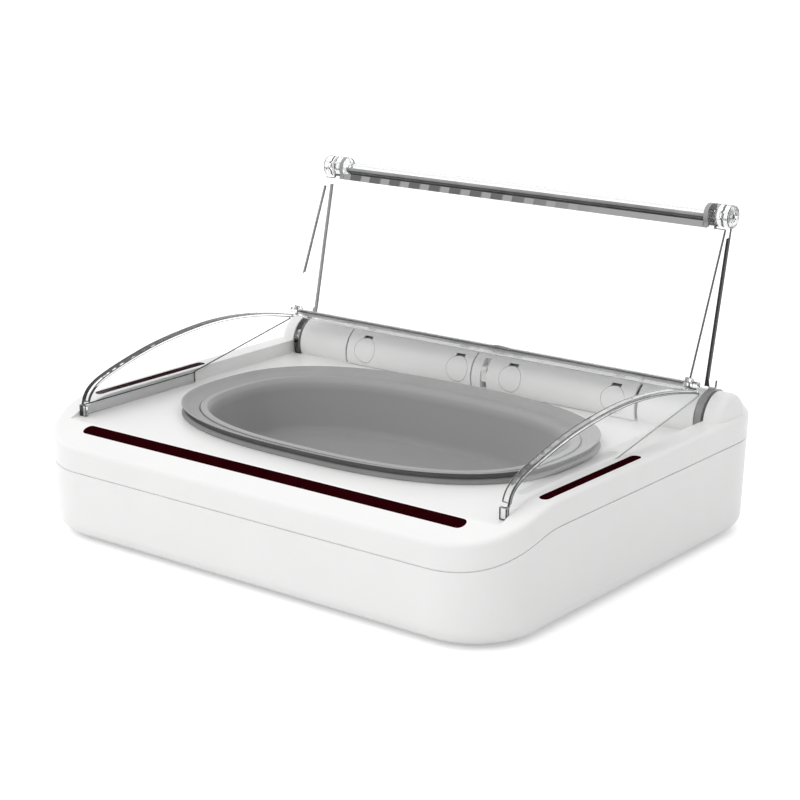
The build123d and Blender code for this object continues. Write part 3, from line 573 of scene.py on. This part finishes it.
# Rear panel: rings painted on its knuckles, pale cheeks at its foot and strips along its cut
# ends, as painted refraction and highlight.
KNUCKLE_START, REAR_KNUCKLE, REAR_FOLLOWER = 134.0, 134.6, 141.0
KNUCKLE_BAND = (5.9, 6.6)
CHEEK_X = 140.9
RIGHT_STRIP, RIGHT_CUT, LEFT_STRIP = 1.4, 1.35, 1.6
RIM_STRIP = 1.0
# Rear panel's barrel: radii of the painted glint round the rod, and heights over the crown.
GLINT_BAND = (2.9, 3.5)
GLINT_DROP, GLINT_RISE = -1.1, 0.7
UNDERSIDE_RADIUS = 3.6
UNDERSIDE_BAND = (-6.1, -3.1)
BARREL_CUTS = (168.8, 171.8)
# Front panel: rings on its knuckles, lip at its foot, left end and dashed strip, all painted,
# as painted refraction.
FRONT_KNUCKLE = (129.2, 133.1)
FRONT_HEAD_Z = 168.5
LIP_CUTS = (90.0, 89.4, 87.4)
LIP_HALF = 136.0
LEFT_END = 1.1
LEFT_END_FOOT_Z = 112.0
DASH_BAND = (168.4, 171.6)
ROD_SHARE = 0.95


def crown_radius(place):
    return math.hypot(place.y - CROWN_Y, place.z - CROWN_Z)


def rear_panel_face(place, normal):
    """The panel's cut ends, its foot and the under half of its hinge barrel are painted darker,
    as painted refraction; its right cheek is painted pale, as a painted highlight.
    """
    radius = crown_radius(place)
    reach = abs(place.x)
    lengthwise = normal.y < 0.1 and abs(normal.x) < 0.5
    if radius < HINGE_RADIUS and reach < BARREL_HALF and lengthwise:
        rise = place.z - CROWN_Z
        if between(radius, GLINT_BAND) and rise < GLINT_RISE:
            return MID if rise > GLINT_DROP else DEEP
        behind = place.y > CROWN_Y - 0.5 and radius > UNDERSIDE_RADIUS
        if behind and between(rise, UNDERSIDE_BAND):
            return DEEP
    if between(radius, KNUCKLE_BAND) and reach > KNUCKLE_START:
        if reach > REAR_FOLLOWER:
            return DEEP
        if reach < REAR_KNUCKLE:
            return MID
    if place.x > CHEEK_X and place.z < PANEL_FOOT_Z:
        return PALE
    if place.z > HINGE_FOOT_Z or reach > PANEL_HALF + 0.2:
        return CLEAR
    if place.x > PANEL_HALF - RIGHT_STRIP and place.z > PANEL_FOOT_Z:
        return DARK
    if place.x < -PANEL_HALF + LEFT_STRIP and place.z > PANEL_FOOT_Z:
        return MID
    return CLEAR


# Bevels painted deep, dark or mid grey, as painted refraction.
def rear_panel_rim(place, normal):
    if place.z > HINGE_FOOT_Z:
        return DEEP
    if abs(place.x) > PANEL_HALF + 0.4:
        return CLEAR
    if place.x > PANEL_HALF - RIM_STRIP:
        return DARK
    return MID if place.z > PANEL_FOOT_Z + 1 else CLEAR


def front_panel_face(place, normal):
    """Painted refraction: the dashed strip under the crown, the left end, the lip and the
    knuckles' rings.
    """
    reach = abs(place.x)
    if between(place.z, DASH_BAND) and reach < BARREL_HALF and normal.y < 0.9:
        return DASHES
    if place.x < -PANEL_HALF + LEFT_END and LEFT_END_FOOT_Z < place.z < HINGE_FOOT_Z:
        return MID
    lip_top, lip_middle, lip_foot = LIP_CUTS
    if lip_foot < place.z < lip_top and reach < LIP_HALF:
        return DEEP if place.z > lip_middle else PALE
    if crown_radius(place) > KNUCKLE_BAND[0] and place.z > FRONT_HEAD_Z:
        if reach < FRONT_KNUCKLE[0]:
            return MID
        if reach > FRONT_KNUCKLE[1]:
            return DEEP
    return CLEAR


# Bevels painted deep or mid grey, as painted refraction.
def front_panel_rim(place, normal):
    return DEEP if place.x > PANEL_HALF - RIM_STRIP and normal.y < 0 else MID


def thinned(co):
    """A hair of air around the hinge rod inside its clear barrel."""
    middle = Vector((co.x, CROWN_Y * MM, CROWN_Z * MM))
    return middle + (co - middle) * ROD_SHARE


def all_clear(place, normal):
    return CLEAR


def both_sides(places):
    return [plane_x(side * x) for x in places for side in (1, -1)]


softened(
    "rear_lid", "rear_panel_clear", width=0.3 * MM, choose=rear_panel_face, rim=rear_panel_rim,
    cuts=[plane_x(PANEL_HALF - RIGHT_CUT), plane_x(LEFT_STRIP - PANEL_HALF)]
    + both_sides((BARREL_HALF, REAR_KNUCKLE, REAR_FOLLOWER))
    + [plane_z(z) for z in (HINGE_FOOT_Z, *BARREL_CUTS)]
    + [plane_z(CROWN_Z + rise) for rise in (GLINT_RISE, GLINT_DROP)],
)
softened(
    "lid_hinge_rod", "hinge_rod_clear", width=0.2 * MM, choose=all_clear, rim=all_clear,
    shape=thinned,
)
softened(
    "front_lid", "front_panel_clear", width=0.3 * MM, choose=front_panel_face,
    rim=front_panel_rim,
    cuts=[plane_z(z) for z in (FRONT_HEAD_Z, HINGE_FOOT_Z, LEFT_END_FOOT_Z, *LIP_CUTS)]
    + [plane_x(LEFT_END - PANEL_HALF)]
    + both_sides(FRONT_KNUCKLE),
)


# ------------------------------------------------------------------ floor and light
def seen_rays(tree):
    """1 for camera, mirror and see-through rays, 0 for the rays that light the part."""
    rays = tree.nodes.new("ShaderNodeLightPath").outputs
    direct = math_node(tree, "MAXIMUM", rays["Is Camera Ray"], rays["Is Glossy Ray"])
    return math_node(tree, "MAXIMUM", direct, rays["Is Transmission Ray"])


FLOOR_HALF = 30.0
FLOOR_SHADE = 0.86
FLOOR_LIFT = 0.3
corners = [(x * FLOOR_HALF, y * FLOOR_HALF, 0) for x, y in ((-1, -1), (1, -1), (1, 1), (-1, 1))]
floor_mesh = bpy.data.meshes.new("floor")
floor_mesh.from_pydata(corners, [], [(0, 1, 2, 3)])
floor = bpy.data.objects.new("floor", floor_mesh)
bpy.context.scene.collection.objects.link(floor)

floor_paper = new_material("floor_paper", grey(0.9), 0.9, specular=0.0)
paint(floor, floor_paper)
tree = floor_paper.node_tree
sockets = shader_of(floor_paper).inputs
shown = mix_node(tree, "RGBA", seen_rays(tree), (*grey(FLOOR_SHADE), 1), (*grey(1), 1))
tree.links.new(shown, sockets["Base Color"])
lift = math_node(tree, "MULTIPLY", seen_rays(tree), FLOOR_LIFT)
tree.links.new(lift, sockets["Emission Strength"])
sockets["Emission Color"].default_value = (1, 1, 1, 1)

# The sky is brighter from the left, the front and above.
SKY_LEVEL, SKY_CAP = 0.81, 0.93
SKY_SLOPE_X, SKY_SLOPE_Y, SKY_SLOPE_Z = -0.53, -0.12, 0.5
world = bpy.data.worlds.new("world")
bpy.context.scene.world = world
world.use_nodes = True
tree = world.node_tree
direction = coordinates(tree, "Generated")
light = math_node(tree, "MULTIPLY_ADD", direction["X"], SKY_SLOPE_X, SKY_LEVEL)
light = math_node(tree, "MINIMUM", light, SKY_CAP)
light = math_node(tree, "MULTIPLY_ADD", direction["Y"], SKY_SLOPE_Y, light)
light = math_node(tree, "MULTIPLY_ADD", direction["Z"], SKY_SLOPE_Z, light)
background = tree.nodes["Background"]
background.inputs["Color"].default_value = (1, 1, 1, 1)
strength = mix_node(tree, "FLOAT", seen_rays(tree), light, 1.0)
tree.links.new(strength, background.inputs["Strength"])


# ------------------------------------------------------------------ camera
CAMERA_AZIMUTH = math.radians(38.11)
CAMERA_ELEVATION = math.radians(15.92)
CAMERA_DISTANCE = 1117.58 * MM
CAMERA_TARGET = Vector((0, 0, 68.5 * MM))
FOCAL_PIXELS = 2022.62
SHIFT_PIXELS = 7.02
FRAME_PIXELS = 800
SENSOR = 36.0
back = Vector(
    (
        math.sin(CAMERA_AZIMUTH) * math.cos(CAMERA_ELEVATION),
        -math.cos(CAMERA_AZIMUTH) * math.cos(CAMERA_ELEVATION),
        math.sin(CAMERA_ELEVATION),
    )
)
camera_data = bpy.data.cameras.new("camera")
camera_data.sensor_fit = "HORIZONTAL"
camera_data.sensor_width = SENSOR
camera_data.lens = FOCAL_PIXELS * SENSOR / FRAME_PIXELS
camera_data.shift_y = SHIFT_PIXELS / FRAME_PIXELS
camera_data.clip_start = 0.01
camera_data.clip_end = 100.0
camera = bpy.data.objects.new("camera", camera_data)
camera.location = CAMERA_TARGET + CAMERA_DISTANCE * back
camera.rotation_euler = (-back).to_track_quat("-Z", "Y").to_euler()
bpy.context.scene.collection.objects.link(camera)
bpy.context.scene.camera = camera

bpy.context.scene.view_settings.view_transform = "Standard"
